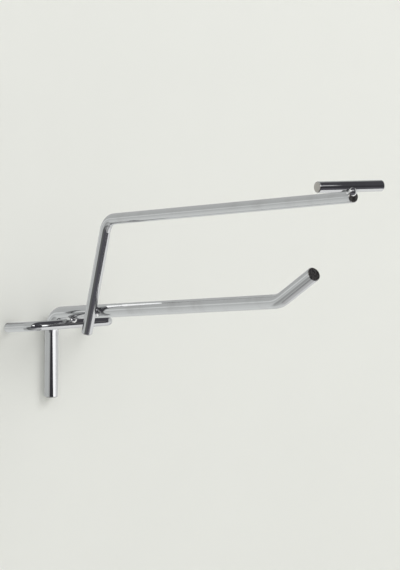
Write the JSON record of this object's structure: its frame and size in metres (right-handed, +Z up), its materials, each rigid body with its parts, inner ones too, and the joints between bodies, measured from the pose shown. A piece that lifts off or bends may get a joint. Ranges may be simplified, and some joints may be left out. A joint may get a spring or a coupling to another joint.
{
  "type": "pegboard display hook",
  "caption": "Welded wire pegboard hook: pegs turned up behind the board, a prong with a raised tip for goods, and an arm above it that ends in a bar for a price tag.",
  "frame": {"origin": "midway between the axes of the pegs, on the plane of the board's face", "axes": "+Y into the board, +Z up, +X along the board to the right as seen from the front; the prong reaches out along -Y"},
  "size_m": [0.055, 0.2722, 0.1334],
  "materials": {
    "plated_wire": "bright plated steel wire",
    "plated_weld": "plated weld metal, a little rougher"
  },
  "bodies": {
    "root": {"hook_prong": "plated_wire", "peg_crossbar": "plated_wire", "price_arm": "plated_wire", "tag_bar": "plated_wire", "weld_crossbar": "plated_weld", "weld_upright": "plated_weld", "weld_tag_bar": "plated_weld"}
  },
  "joints": []
}
